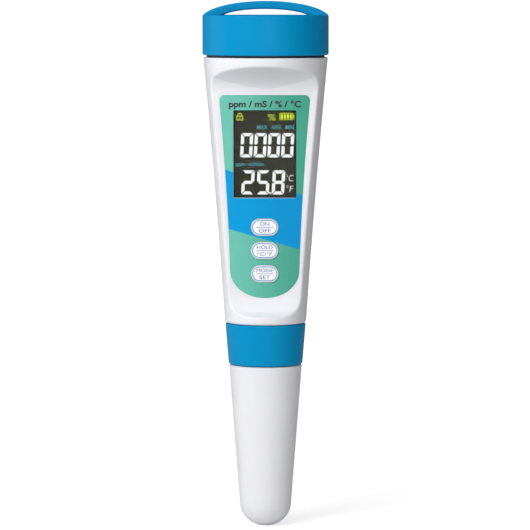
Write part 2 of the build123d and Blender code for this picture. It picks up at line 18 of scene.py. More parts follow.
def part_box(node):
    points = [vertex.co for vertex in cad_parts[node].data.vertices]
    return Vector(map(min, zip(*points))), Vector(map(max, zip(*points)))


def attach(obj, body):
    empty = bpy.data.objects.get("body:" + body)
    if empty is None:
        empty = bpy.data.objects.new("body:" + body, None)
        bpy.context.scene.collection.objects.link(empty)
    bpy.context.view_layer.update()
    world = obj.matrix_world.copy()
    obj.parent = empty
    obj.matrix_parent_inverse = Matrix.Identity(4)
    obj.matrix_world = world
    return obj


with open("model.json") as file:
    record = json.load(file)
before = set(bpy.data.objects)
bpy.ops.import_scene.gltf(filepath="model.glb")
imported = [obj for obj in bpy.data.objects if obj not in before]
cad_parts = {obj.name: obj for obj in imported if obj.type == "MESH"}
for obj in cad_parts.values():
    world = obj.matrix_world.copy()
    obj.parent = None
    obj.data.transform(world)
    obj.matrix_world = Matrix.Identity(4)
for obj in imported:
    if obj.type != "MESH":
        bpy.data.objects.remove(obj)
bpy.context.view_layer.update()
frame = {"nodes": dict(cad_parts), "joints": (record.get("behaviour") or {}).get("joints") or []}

MM = 0.001
nodes = frame["nodes"]
bpy.ops.object.select_all(action="DESELECT")

# %% [markdown]
# ## Camera
# The photograph was taken a little above the pen's cap, from far enough away that the
# sides hardly converge.
# Its distance follows from how much the cap's foot sags in the picture, its turn from how
# far the window stands left of the middle, and its focal length from the pen's height.

# %% Set the camera
CAMERA_DISTANCE = 1.24
CAMERA_HEIGHT = 0.192
CAMERA_TURN = math.radians(1.9)
CAMERA_LENS = 236
AIM_HEIGHT = 0.0937
AIM_SIDE = -0.0002

camera_data = bpy.data.cameras.new("camera")
camera_data.lens = CAMERA_LENS
camera_data.clip_start = 0.05
camera_data.clip_end = 20
camera = bpy.data.objects.new("camera", camera_data)
bpy.context.collection.objects.link(camera)
bpy.context.scene.camera = camera
camera.location = (
    AIM_SIDE + CAMERA_DISTANCE * math.sin(CAMERA_TURN),
    -CAMERA_DISTANCE * math.cos(CAMERA_TURN),
    CAMERA_HEIGHT,
)
aim = Vector((AIM_SIDE, 0, AIM_HEIGHT)) - camera.location
camera.rotation_euler = aim.to_track_quat("-Z", "Y").to_euler()
print("camera looks down by", round(-math.degrees(math.asin(aim.normalized().z)), 2), "degrees")

# %% [markdown]
# ## Light
# The pen was lit from the front left: its right side falls into shade and the hollow
# under the cap, which faces down, is darker than the face. A large soft key lamp and a
# front lamp light the face, a side lamp draws a rim of light on the left, a weak lamp
# overhead catches the bail and the ledge, and an even grey world fills the rest.

# %% Set the lamps and the world
bpy.context.scene.view_settings.view_transform = "Standard"


PEN_MIDDLE = (0, 0, 0.1)


def add_lamp(name, place, size, power):
    """A square soft lamp that points at the pen's middle."""
    lamp_data = bpy.data.lights.new(name, "AREA")
    lamp_data.size = size
    lamp_data.energy = power
    lamp = bpy.data.objects.new(name, lamp_data)
    bpy.context.collection.objects.link(lamp)
    lamp.location = place
    lamp.rotation_euler = (Vector(PEN_MIDDLE) - Vector(place)).to_track_quat("-Z", "Y").to_euler()


add_lamp("key_lamp", place=(-0.55, -0.75, 0.62), size=0.6, power=5.7)
add_lamp("front_lamp", place=(0.25, -1.30, 0.25), size=0.8, power=4.9)
add_lamp("side_lamp", place=(-1.20, 0.15, 0.35), size=0.8, power=3.2)
add_lamp("top_lamp", place=(-0.10, -0.45, 1.20), size=0.6, power=2.9)

# %% [markdown]
# ## A small language for materials
# A material is a formula over the surface. This class wraps a node's output, so that
# sums and products of outputs can be written as Python expressions, and each operator
# adds the Math node it stands for. One method adds any other node.


# %% Define the shader language
class Shade:
    """A value in a shader tree. Arithmetic on it adds Math nodes."""

    def __init__(self, tree, value):
        self.tree = tree
        self.value = value

    def node(self, kind, output=0, settings=None, **sockets):
        """Add a node, set it, link or fill its sockets by name or number, return an output."""
        made = self.tree.nodes.new(kind)
        for key, setting in (settings or {}).items():
            setattr(made, key, setting)
        for key, given in sockets.items():
            place = int(key[1:]) if key[0] == "i" and key[1:].isdigit() else key.replace("_", " ")
            if isinstance(given, Shade):
                self.tree.links.new(given.value, made.inputs[place])
            else:
                made.inputs[place].default_value = given
        return Shade(self.tree, made.outputs[output])

    def math(self, operation, *others):
        """This value and others through one Math node."""
        given = {f"i{place}": other for place, other in enumerate((self, *others))}
        return self.node("ShaderNodeMath", settings={"operation": operation}, **given)

    def __add__(self, other):
        return self.math("ADD", other)

    def __sub__(self, other):
        return self.math("SUBTRACT", other)

    def __mul__(self, other):
        return self.math("MULTIPLY", other)

    def __truediv__(self, other):
        return self.math("DIVIDE", other)

    def __neg__(self):
        return self * -1

    def __rsub__(self, other):
        return -self + other

    def __abs__(self):
        return self.math("ABSOLUTE")

    __radd__ = __add__
    __rmul__ = __mul__

    def smooth(self, low, high):
        """A soft step from 0 at low to 1 at high."""
        settings = {"interpolation_type": "SMOOTHSTEP"}
        given = {"Value": self, "From_Min": low, "From_Max": high}
        return self.node("ShaderNodeMapRange", settings=settings, **given)

    def mix(self, first, second):
        """Colour first where this value is 0 and second where it is 1."""
        settings = {"data_type": "RGBA", "clamp_factor": True}
        return self.node("ShaderNodeMix", 2, settings, i0=self, i6=first, i7=second)

    def noise(self, size, detail=2.0):
        """Fractal noise over this position, with features about size metres wide."""
        return self.node("ShaderNodeTexNoise", Vector=self, Scale=1 / size, Detail=detail)

    def bump(self, height, distance, strength=1.0):
        """The normal of a surface raised by height times distance metres."""
        return self.node("ShaderNodeBump", Height=height, Distance=distance, Strength=strength)


def srgb(red, green, blue):
    """A linear colour from the 0 to 255 values seen on a screen."""
    def linear(level):
        level = level / 255
        return level / 12.92 if level <= 0.04045 else ((level + 0.055) / 1.055) ** 2.4
    return (linear(red), linear(green), linear(blue), 1.0)


materials = {}


def new_material(name, paint, **constants):
    """Make a Principled material. paint(position) returns the sockets that vary."""
    material = bpy.data.materials.new(name)
    material.use_nodes = True
    tree = material.node_tree
    surface = tree.nodes["Principled BSDF"]
    position = Shade(tree, None).node("ShaderNodeTexCoord", "Object")
    for socket, given in {**constants, **paint(position)}.items():
        place = surface.inputs[socket.replace("_", " ")]
        if isinstance(given, Shade):
            tree.links.new(given.value, place)
        else:
            place.default_value = given
    materials[name] = material
    return material


def split(position):
    """The x, y and z of a position as three values."""
    outputs = position.node("ShaderNodeSeparateXYZ", Vector=position).value.node.outputs
    return [Shade(position.tree, output) for output in outputs]


def seen_directly(tree):
    """1 where a ray comes from the camera or through glass, and else 0."""
    rays = Shade(tree, None).node("ShaderNodeLightPath").value.node.outputs
    camera_ray = Shade(tree, rays["Is Camera Ray"])
    return camera_ray.math("MAXIMUM", Shade(tree, rays["Is Transmission Ray"]))


print("shader language ready")

# %% [markdown]
# ## World
# The world lights the pen as a dim grey room does. Where it is seen directly it is white,
# so that every view has the plain background of the photograph.

# %% Set the world
ROOM_LEVEL = 0.13
world = bpy.data.worlds.new("studio")
bpy.context.scene.world = world
world.use_nodes = True
room = world.node_tree.nodes["Background"]
room.inputs["Color"].default_value = (1, 1, 1, 1)
shown = seen_directly(world.node_tree) * (1 - ROOM_LEVEL) + ROOM_LEVEL
world.node_tree.links.new(shown.value, room.inputs["Strength"])
print("the room gives", ROOM_LEVEL)

# %% [markdown]
# ## Moulded plastics
# The casing and the protective cap are satin white, the battery cap and the collar
# satin blue. Such mouldings have a faint, fine orange peel, and their colour clouds very
# slightly along the part. Three noises of different size give the peel, the clouding
# and the handling marks, which dull the gloss in patches.


# %% Mix the moulded plastics
def moulded(color, shaded, gloss, marks, peel_size=0.7 * MM, peel_height=0.02 * MM):
    """Paint for a moulded plastic: two near colours, a peel and uneven gloss."""
    def paint(position):
        cloud = position.noise(30 * MM, 3).smooth(0.35, 0.65)
        speck = position.noise(0.5 * MM, 1).smooth(0.62, 0.80)
        smears = position.noise(9 * MM, 4).smooth(0.45, 0.75)
        return {
            "Base_Color": (cloud * 0.75 + speck * 0.25).mix(color, shaded),
            "Roughness": smears * marks + gloss,
            "Normal": position.bump(position.noise(peel_size), peel_height, 0.6),
        }
    return paint


new_material(
    "casing_white",
    moulded(srgb(243, 243, 247), srgb(240, 240, 245), 0.30, 0.09),
    Specular_IOR_Level=0.3,
)
new_material(
    "accent_blue",
    moulded(srgb(0, 150, 206), srgb(0, 146, 201), 0.36, 0.10),
    Specular_IOR_Level=0.08,
)
new_material("inner_white", moulded(srgb(225, 225, 220), srgb(214, 214, 208), 0.45, 0.1))
new_material("inner_black", moulded(srgb(38, 38, 40), srgb(30, 30, 32), 0.5, 0.1))
new_material("probe_grey", moulded(srgb(74, 77, 82), srgb(66, 69, 74), 0.38, 0.12))
print("moulded plastics:", sorted(materials))

# %% [markdown]
# ## Rubber, board and metals
# These are seen when the caps are off. Rubber is dark and dull with a mould's grain, the
# display's strip has fine conducting stripes, and the board has copper tracks under green
# lacquer. The metals carry fine streaks along the pen, made by stretching a noise.


# %% Mix the rubber, the board and the metals
def rubber(position):
    """Black rubber with a fine grain and a bloom of dust."""
    dust = position.noise(3 * MM, 4).smooth(0.5, 0.8)
    return {
        "Base_Color": dust.mix(srgb(20, 20, 21), srgb(36, 36, 38)),
        "Roughness": dust * 0.2 + 0.55,
        "Normal": position.bump(position.noise(0.25 * MM), 0.02 * MM, 0.8),
    }


def striped_rubber(position):
    """The display's connector: pale rubber with black conducting stripes."""
    across, _, _ = split(position)
    stripe = across.math("PINGPONG", 0.12 * MM).smooth(0.05 * MM, 0.07 * MM)
    return {"Base_Color": stripe.mix(srgb(205, 190, 195), srgb(35, 35, 36)), "Roughness": 0.6}


def board(position):
    """Green lacquer over copper tracks that run up and across."""
    across, _, height = split(position)
    weave = abs(across.math("PINGPONG", 1.1 * MM) - height.math("PINGPONG", 1.7 * MM))
    track = 1 - weave.smooth(0.10 * MM, 0.14 * MM)
    grain = position.noise(1.5 * MM, 3)
    return {
        "Base_Color": (track * 0.7 + grain * 0.3).mix(srgb(14, 82, 48), srgb(46, 128, 70)),
        "Roughness": grain * 0.1 + 0.25,
        "Normal": position.bump(track, 0.03 * MM, 0.6),
    }


STREAK_SQUEEZE = 0.06


def drawn_metal(color, dull, gloss):
    """A metal with streaks along the pen and patches of duller skin."""
    def paint(position):
        stretch = {"Location": (0, 0, 0), "Scale": (1, 1, STREAK_SQUEEZE)}
        along = position.node("ShaderNodeMapping", Vector=position, **stretch)
        streak = along.noise(0.12 * MM, 3)
        patch = position.noise(2 * MM, 4).smooth(0.4, 0.7)
        return {
            "Base_Color": patch.mix(color, dull),
            "Roughness": streak * 0.15 + patch * 0.08 + gloss,
            "Normal": position.bump(streak, 0.004 * MM, 0.5),
        }
    return paint


new_material("seal_black", rubber)
new_material("strip_rubber", striped_rubber)
new_material("board_green", board, Coat_Weight=0.5, Coat_Roughness=0.1)
METALS = {
    "spring_steel": (srgb(196, 198, 200), srgb(176, 178, 182), 0.22),
    "cell_steel": (srgb(206, 208, 210), srgb(186, 188, 192), 0.16),
    "screw_steel": (srgb(180, 182, 186), srgb(150, 152, 156), 0.28),
    "pin_brass": (srgb(222, 186, 104), srgb(200, 160, 84), 0.22),
    "electrode_steel": (srgb(188, 190, 194), srgb(160, 163, 168), 0.2),
}
for name, (color, dull, gloss) in METALS.items():
    new_material(name, drawn_metal(color, dull, gloss), Metallic=1.0)
print("materials so far:", len(materials))

# %% [markdown]
# ## The face as a sheet to print on
# The label, the keys and the display lie on a face that leans a little. The keys travel
# square to it, so its direction is that of a key's joint. What is printed is laid out on
# a flat sheet in millimetres from the window's middle, and then carried onto the face.

# %% Find the face
key_joint = next(joint for joint in frame["joints"] if joint["name"] == "power_press")
outward = -Vector(key_joint["axis"]).normalized()
across_face = Vector((1, 0, 0))
up_face = outward.cross(across_face)


def front_of(name):
    """How far a node reaches out of the face, measured along the face's direction."""
    return max(vertex.co.dot(outward) for vertex in nodes[name].data.vertices)


def middle_of(name):
    """The middle of a node's box."""
    low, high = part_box(name)
    return (low + high) / 2


def face_sheet(middle, front):
    """A frame on the face: x across, y up and z out of it, from below a middle point."""
    place = middle + outward * (front - middle.dot(outward))
    sheet = Matrix.Identity(4)
    for column, axis in enumerate((across_face, up_face, outward, place)):
        sheet[0][column], sheet[1][column], sheet[2][column] = axis
    return sheet


window_middle = middle_of("window_lens")
label_sheet = face_sheet(window_middle, front_of("face_label"))
display_sheet = face_sheet(window_middle, front_of("display_glass"))
KEYS = ("power", "hold", "mode")
key_sheets = {key: face_sheet(middle_of(f"{key}_key"), front_of(f"{key}_key")) for key in KEYS}
print("face leans", round(math.degrees(math.asin(-outward.z)), 2), "degrees down")


def on_sheet(position, sheet):
    """A position measured across and up a sheet, in metres, as two values."""
    across, _, height = split(position)
    return across - sheet[0][3], (height - sheet[2][3]) / up_face.z


# %% [markdown]
# ## The printed label
# The label is a satin film in teal with a blue band that slants across it behind the window.
# Both colours darken to the right, partly as the print fades and partly as painted shade where
# the light falls off on that side. Each edge of the band is a straight line, so the band is
# the product of two steps. A dot grain, as of screen printing, breaks the flat colour.

# %% Print the label
BAND_TOP_HEIGHT = -10.1 * MM
BAND_TOP_SLOPE = -0.330
BAND_FOOT_HEIGHT = -30.3 * MM
BAND_FOOT_SLOPE = -0.287
PRINT_EDGE = 0.05 * MM
# Half the width over which the label darkens to the right: partly the print's fade, partly painted
# shade.
FADE_AND_SHADE_HALF_WIDTH = 14 * MM


def printed_edge(measure, place):
    """0 below a place and 1 above it, with the soft edge of a print between."""
    return measure.smooth(place - PRINT_EDGE, place + PRINT_EDGE)


def label(position):
    """Teal film with a slanting blue band and a printing grain."""
    across, up = on_sheet(position, label_sheet)
    above_foot = printed_edge(up - across * BAND_FOOT_SLOPE, BAND_FOOT_HEIGHT)
    above_top = printed_edge(up - across * BAND_TOP_SLOPE, BAND_TOP_HEIGHT)
    band = above_foot * (1 - above_top)
    # Painted shade in part: both colours darken to the right, partly the print's own fade and partly
    # the light falling off on that side.
    print_fade_and_painted_shade = across.smooth(-FADE_AND_SHADE_HALF_WIDTH, FADE_AND_SHADE_HALF_WIDTH)
    teal = print_fade_and_painted_shade.mix(srgb(118, 206, 186), srgb(76, 170, 144))
    blue = print_fade_and_painted_shade.mix(srgb(0, 164, 230), srgb(0, 150, 216))
    grain = position.noise(0.35 * MM, 2).smooth(0.35, 0.65) * 0.08
    return {
        "Base_Color": grain.mix(band.mix(teal, blue), srgb(40, 140, 150)),
        "Roughness": position.noise(6 * MM, 3) * 0.12 + 0.36,
        "Normal": position.bump(position.noise(0.3 * MM), 0.01 * MM, 0.5),
    }


new_material("label_print", label, Specular_IOR_Level=0.1)
print("label printed")

# %% [markdown]
# ## Window, display and keys
# The window is clear acrylic and the display behind it a near-black glass. Each key is a
# white pill with a fine blue line set in from its rim. The line is found by the distance
# from a pill's middle line, which is the same formula that would cut the pill's outline.

# %% Finish the window, the display and the keys
KEY_TOP_DEPTH = 0.4 * MM
KEY_LINE_INSET = 0.45 * MM
KEY_LINE_WIDTH = 0.28 * MM


def clear(position):
    """Clear acrylic with faint wiping marks."""
    return {"Roughness": position.noise(8 * MM, 4).smooth(0.5, 0.8) * 0.01}


def display(position):
    """Dark glass with a barely seen grain."""
    grain = position.noise(0.4 * MM, 2)
    return {
        "Base_Color": grain.mix(srgb(40, 39, 29), srgb(46, 45, 35)),
        "Roughness": grain * 0.1 + 0.5,
    }


def key_print(key):
    """White key with a blue line that follows its pill outline."""
    places = [vertex.co for vertex in nodes[f"{key}_key"].data.vertices]
    top_starts = front_of(f"{key}_key") - KEY_TOP_DEPTH
    top = [place for place in places if place.dot(outward) > top_starts]
    half_width = max(abs(place.x) for place in top)
    half_height = (max(place.z for place in top) - min(place.z for place in top)) / 2

    def paint(position):
        across, _, height = split(position)
        up = height - key_sheets[key][2][3]
        past_straight = (abs(across) - (half_width - half_height)).math("MAXIMUM", 0.0)
        reach = (past_straight * past_straight + up * up).math("SQRT")
        inset = half_height - reach
        line = printed_edge(inset, KEY_LINE_INSET)
        inside = printed_edge(inset, KEY_LINE_INSET + KEY_LINE_WIDTH)
        white = line.mix(srgb(226, 238, 246), srgb(252, 252, 253))
        return {
            "Base_Color": (line * (1 - inside)).mix(white, srgb(84, 126, 184)),
            "Roughness": position.noise(1.5 * MM, 3) * 0.1 + 0.38,
            "Normal": position.bump(position.noise(0.3 * MM), 0.01 * MM, 0.5),
        }
    return paint


new_material(
    "clear_window", clear, Transmission_Weight=1.0, IOR=1.08, Base_Color=srgb(250, 252, 252)
)
new_material("display_dark", display, Specular_IOR_Level=0.1)
for key in KEYS:
    new_material(f"key_white_{key}", key_print(key))
print("materials:", len(materials))

# %% Dress the CAD nodes
for name, node in nodes.items():
    own = node.data.materials[0].name.split(".")[0]
    key = name.removesuffix("_key")
    node.data.materials[0] = materials[f"key_white_{key}" if key in KEYS and key != name else own]
print("dressed", len(nodes), "nodes")

# %% [markdown]
# ## Working on a piece by hand
# New pieces start from a primitive and are shaped in edit mode. These helpers do what the
# mouse would: start a piece with nothing else selected, open it, pick faces by their
# place, and lay it down for good, so that its object sits at the origin.


# %% Define the workshop helpers
def start(name, kind, **given):
    """Add a primitive by its kind, with a name, as the only selected object."""
    bpy.ops.object.select_all(action="DESELECT")
    getattr(bpy.ops.mesh, f"primitive_{kind}_add")(**given)
    piece = bpy.context.object
    piece.name = name
    piece.data.name = name
    return piece


def only(piece):
    """Make a piece the one selected and active object."""
    bpy.ops.object.select_all(action="DESELECT")
    piece.select_set(True)
    bpy.context.view_layer.objects.active = piece


@contextmanager
def editing(piece, mode="FACE"):
    """Open a piece in edit mode with nothing selected, and close it afterwards."""
    only(piece)
    bpy.ops.object.mode_set(mode="EDIT")
    bpy.ops.mesh.select_mode(type=mode)
    bpy.ops.mesh.select_all(action="DESELECT")
    yield
    bpy.ops.object.mode_set(mode="OBJECT")


def pick(piece, wanted):
    """Select the vertices, edges or faces whose middle passes a test, in edit mode."""
    shape = bmesh.from_edit_mesh(piece.data)
    members = {"VERT": shape.verts, "EDGE": shape.edges, "FACE": shape.faces}
    mode = next(iter(shape.select_mode))
    for member in members[mode]:
        corners = [member.co] if mode == "VERT" else [corner.co for corner in member.verts]
        member.select_set(bool(wanted(sum(corners, Vector()) / len(corners))))
    shape.select_flush_mode()
    bmesh.update_edit_mesh(piece.data)


def lay(piece, matrix=None):
    """Carry a piece's mesh to its place and leave its object at the origin."""
    only(piece)
    bpy.ops.object.transform_apply(location=True, rotation=True, scale=True)
    if matrix:
        piece.data.transform(matrix)
    return piece


def thicken(by):
    """Draw an open sheet out into a closed slab, in edit mode."""
    bpy.ops.mesh.select_all(action="SELECT")
    bpy.ops.mesh.extrude_region_move(TRANSFORM_OT_translate={"value": tuple(by)})
    bpy.ops.mesh.select_all(action="SELECT")
    bpy.ops.mesh.normals_make_consistent(inside=False)


def apply_modifiers(piece):
    """Apply every modifier of a piece, in order."""
    only(piece)
    for modifier in list(piece.modifiers):
        bpy.ops.object.modifier_apply(modifier=modifier.name)


def copy_of(piece, name):
    """A copy of a piece with a mesh of its own."""
    only(piece)
    bpy.ops.object.duplicate()
    made = bpy.context.object
    made.name = name
    made.data.name = name
    return made


def join(pieces, name):
    """Join several pieces into one."""
    only(pieces[0])
    for piece in pieces:
        piece.select_set(True)
    bpy.ops.object.join()
    pieces[0].name = name
    pieces[0].data.name = name
    return pieces[0]


def hand_over(piece, material, body):
    """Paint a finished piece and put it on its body."""
    piece.data.materials.clear()
    piece.data.materials.append(materials[material])
    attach(piece, body)
    print(piece.name, "has", len(piece.data.polygons), "faces and rides on", body)


print("workshop open, materials on the shelf:", len(materials))

# %% [markdown]
# ## Screw threads
# Both necks of the casing carry a coarse thread, and the battery cap and the collar the
# thread that runs in it. All have the lead that the joints have, so the ridges stay
# clear of each other on the whole way off. A ridge is one turn-round section swept by
# the Screw modifier. The ends run out by sinking into the wall.

# %% Define a thread
THREAD_LEAD = 3.0 * MM
RIDGE_HEIGHT = 0.26 * MM
RIDGE_HALF_WIDTH = 0.55 * MM
RIDGE_STEPS = 96
RUN_OUT_TURNS = 0.10
RUN_OUT_DEPTH = RIDGE_HEIGHT * 1.1
HEXAGON_TURN = math.radians(30)
QUARTER_TURN = math.radians(90)
HALF_A_TURN = math.pi


def wall_radii(name, low, high):
    """The least and greatest radius of a node's vertices between two heights."""
    radii = [
        math.hypot(vertex.co.x, vertex.co.y)
        for vertex in nodes[name].data.vertices
        if low <= vertex.co.z <= high
    ]
    return min(radii), max(radii)


def thread(name, radius, foot, head, outside, phase=0.0):
    """A helical ridge on a wall of some radius, between two heights."""
    turns = (head - foot) / THREAD_LEAD
    ridge = start(name, "circle", vertices=6, radius=RIDGE_HALF_WIDTH, fill_type="NGON")
    with editing(ridge):
        bpy.ops.mesh.select_all(action="SELECT")
        bpy.ops.transform.rotate(value=HEXAGON_TURN, orient_axis="Z", center_override=(0, 0, 0))
        flatness = RIDGE_HEIGHT / (RIDGE_HALF_WIDTH * math.cos(HEXAGON_TURN))
        bpy.ops.transform.resize(value=(flatness, 1, 1))
        bpy.ops.transform.rotate(value=-QUARTER_TURN, orient_axis="X", center_override=(0, 0, 0))
        bpy.ops.transform.translate(value=(radius, 0, foot))
        bpy.ops.mesh.delete(type="ONLY_FACE")
    ridge.data.transform(Matrix.Rotation(phase, 4, "Z"))
    screw = ridge.modifiers.new("screw", "SCREW")
    screw.angle = 2 * math.pi * turns
    screw.screw_offset = THREAD_LEAD * turns
    screw.steps = screw.render_steps = round(RIDGE_STEPS * turns)
    screw.use_smooth_shade = True
    apply_modifiers(ridge)
    side = 1 if outside else -1
    for vertex in ridge.data.vertices:
        turn = math.atan2(vertex.co.y, vertex.co.x) - phase
        rise = (vertex.co.z - foot) / THREAD_LEAD
        done = turn / (2 * math.pi) + round(rise - turn / (2 * math.pi))
        share = min(1.0, max(0.0, min(done, turns - done) / RUN_OUT_TURNS))
        sunk = side * RUN_OUT_DEPTH * (1 - share * share * (3 - 2 * share))
        wall = math.hypot(vertex.co.x, vertex.co.y)
        vertex.co.x *= (wall - sunk) / wall
        vertex.co.y *= (wall - sunk) / wall
    with editing(ridge, "EDGE"):
        bpy.ops.mesh.select_non_manifold()
        bpy.ops.mesh.fill_holes(sides=0)
        bpy.ops.mesh.select_all(action="SELECT")
        bpy.ops.mesh.normals_make_consistent(inside=False)
    return ridge


print("a ridge is", round(RIDGE_HEIGHT / MM, 2), "mm high, with a lead of", round(THREAD_LEAD / MM, 2))

# %% Cut the threads
EDGE_BAND = 0.1 * MM
casing_low, casing_high = (corner.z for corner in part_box("casing"))
cap_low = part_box("battery_cap")[0].z
collar_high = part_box("collar")[1].z
upper_neck = wall_radii("casing", casing_high - EDGE_BAND, casing_high)[1]
lower_neck = wall_radii("casing", casing_low, casing_low + EDGE_BAND)[1]
cap_bore = wall_radii("battery_cap", cap_low - EDGE_BAND, cap_low + EDGE_BAND)[0]
collar_bore = wall_radii("collar", collar_high - EDGE_BAND, collar_high + EDGE_BAND)[0]
print("necks", round(upper_neck / MM, 2), round(lower_neck / MM, 2), "mm")
print("bores", round(cap_bore / MM, 2), round(collar_bore / MM, 2), "mm")

NECK_INSETS = (1.3 * MM, 1.0 * MM)
CAP_INSETS = (1.2 * MM, 0.8 * MM)
COLLAR_INSETS = (0.8 * MM, 1.0 * MM)

upper_thread = thread(
    "upper_thread", upper_neck, cap_low + NECK_INSETS[0], casing_high - NECK_INSETS[1], True
)
hand_over(upper_thread, "casing_white", "casing")
cap_thread = thread(
    "cap_thread", cap_bore, cap_low + CAP_INSETS[0], casing_high - CAP_INSETS[1], False, HALF_A_TURN
)
hand_over(cap_thread, "accent_blue", "battery_cap")
lower_thread = thread(
    "lower_thread", lower_neck, casing_low + NECK_INSETS[1], collar_high - NECK_INSETS[0], True
)
hand_over(lower_thread, "casing_white", "casing")
collar_thread = thread(
    "collar_thread",
    collar_bore,
    casing_low + COLLAR_INSETS[0],
    collar_high - COLLAR_INSETS[1],
    False,
    HALF_A_TURN,
)
hand_over(collar_thread, "accent_blue", "collar")

# %% [markdown]
# ## The brow's swell
# The solids' brow has one section all the way across. The moulding swells towards the
# middle, so that the shaded hollow under the rim ends in a long downward curve. The swell
# is a grid laid on the brow: its section is a parabola that leans out of the face, drawn
# back to both sides by a shallow arc and rounded into the casing's own wall.

# %% Define the casing's wall and the brow
LABEL_PROUD = 0.05 * MM
COLLAR_GAP = 0.2 * MM
BROW_FOOT = 22.2 * MM
BROW_BEND = 4.0 * MM
BROW_RISE = 9.4 * MM
BROW_REACH = 13.25 * MM
BROW_SINK = 0.1 * MM
BROW_PLAN_RADIUS = 70 * MM
CASING_FOOT_RADIUS = 14.5 * MM
CASING_TOP_RADIUS = 22.2 * MM
CASING_BOW = 0.37 * MM
CASING_MIDDLE_RADIUS = (CASING_FOOT_RADIUS + CASING_TOP_RADIUS) / 2 - 2 * CASING_BOW
REACH_ROUNDS = 3

casing_foot = collar_high + COLLAR_GAP
casing_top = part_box("cap_gasket")[0].z
bare_sheet = label_sheet.copy()
bare_sheet.translation = label_sheet.translation - outward * LABEL_PROUD


def wall_reach(across, up):
    """How far out of the face the casing's round wall stands."""
    reach = 0.0
    for _ in range(REACH_ROUNDS):
        level = (bare_sheet @ Vector((across, up, reach))).z
        share = (level - casing_foot) / (casing_top - casing_foot)
        radius = (
            CASING_FOOT_RADIUS * (1 - share) ** 2
            + CASING_MIDDLE_RADIUS * 2 * share * (1 - share)
            + CASING_TOP_RADIUS * share**2
        )
        front = math.sqrt(max(0.0, radius**2 - across**2))
        reach = (front + (bare_sheet @ Vector((across, up, 0))).y) / -outward.y
    return reach


def brow_reach(across, up):
    """How far out of the face the brow's parabola stands."""
    curve = BROW_RISE - 2 * BROW_BEND
    climbed = max(0.0, up - BROW_FOOT)
    share = (math.sqrt(BROW_BEND**2 + curve * climbed) - BROW_BEND) / curve
    return BROW_REACH * share**2 - BROW_SINK - across**2 / (2 * BROW_PLAN_RADIUS)


def soft_least(first, second, blend):
    """The lesser of two values, rounded over where they cross."""
    overlap = max(0.0, blend - abs(first - second)) / blend
    return min(first, second) - overlap**2 * blend / 4


print("the wall stands", round(wall_reach(0, BROW_FOOT) / MM, 2), "mm out of the face at the brow")

# %% Lay the brow's swell
BROW_EDGE_ROUND = 1.2 * MM
SWELL_HALF_WIDTH = 19.4 * MM
SWELL_LOW = 21.8 * MM
SWELL_HIGH = 32.4 * MM
SWELL_THICKNESS = 0.5 * MM
SWELL_DEEPEST = -1.0 * MM
WALL_MARGIN = 0.03 * MM

swell = start("brow_swell", "grid", x_subdivisions=110, y_subdivisions=64, size=1)
for vertex in swell.data.vertices:
    across = vertex.co.x * 2 * SWELL_HALF_WIDTH
    up = SWELL_LOW + (vertex.co.y + 0.5) * (SWELL_HIGH - SWELL_LOW)
    wall = wall_reach(across, up) - WALL_MARGIN
    reach = max(SWELL_DEEPEST, soft_least(brow_reach(across, up), wall, BROW_EDGE_ROUND))
    vertex.co = bare_sheet @ Vector((across, up, reach))
with editing(swell):
    thicken(-outward * SWELL_THICKNESS)
bpy.ops.object.shade_smooth()
hand_over(swell, "casing_white", "casing")

# %% [markdown]
# ## Printed words
# The header and the key legends are set in Blender's own typeface, turned into a mesh a
# few hundredths of a millimetre thick and laid on the face. Only generic units and words
# are printed. A print in relief stays sharp however close the camera comes.

# %% Mix the inks and define lettering
INK = 0.02 * MM
LETTER_EXTRUDE = 0.01


def ink(color, gloss):
    """Paint for a printing ink, slightly uneven where it soaked in."""
    def paint(position):
        uneven = position.noise(0.6 * MM, 3).smooth(0.3, 0.8)
        lighter = tuple(min(1.0, channel + 0.02) for channel in color[:3]) + (1.0,)
        return {"Base_Color": uneven.mix(color, lighter), "Roughness": uneven * 0.1 + gloss}
    return paint


new_material("ink_black", ink(srgb(14, 22, 22), 0.4))
new_material("ink_blue", ink(srgb(30, 92, 176), 0.4))


def words(name, text, width, height, place, sheet, bold=0.0, slant=0.0):
    """Lettering of a width and a capital height, laid on a sheet at a place, in mm."""
    bpy.ops.object.select_all(action="DESELECT")
    bpy.ops.object.text_add(location=(0, 0, 0))
    lettering = bpy.context.object
    lettering.data.body = "H"
    lettering.data.offset = bold
    bpy.context.view_layer.update()
    capital = lettering.dimensions.y
    lettering.data.body = text
    lettering.data.shear = slant
    lettering.data.extrude = LETTER_EXTRUDE
    bpy.ops.object.convert(target="MESH")
    lettering = bpy.context.object
    lettering.name = name
    lettering.data.name = name
    low = Vector(lettering.bound_box[0])
    high = Vector(lettering.bound_box[6])
    centre = Matrix.Translation((-(low.x + high.x) / 2, -capital / 2, 0))
    wider = width * MM / (high.x - low.x)
    size = Matrix.Diagonal((wider, height * MM / capital, INK / (2 * LETTER_EXTRUDE), 1))
    move = Matrix.Translation((place[0] * MM, place[1] * MM, 0))
    return lay(lettering, sheet @ move @ size @ centre)


print("inks mixed, materials:", len(materials))

# %% Print the header and the key legends
HEADER_SIZE = (25.6, 2.3)
HEADER_PLACE = (0.1, 17.9)
header = words("header_print", "ppm / mS / % / °C", *HEADER_SIZE, HEADER_PLACE, label_sheet, bold=0.035)
hand_over(header, "ink_black", "casing")

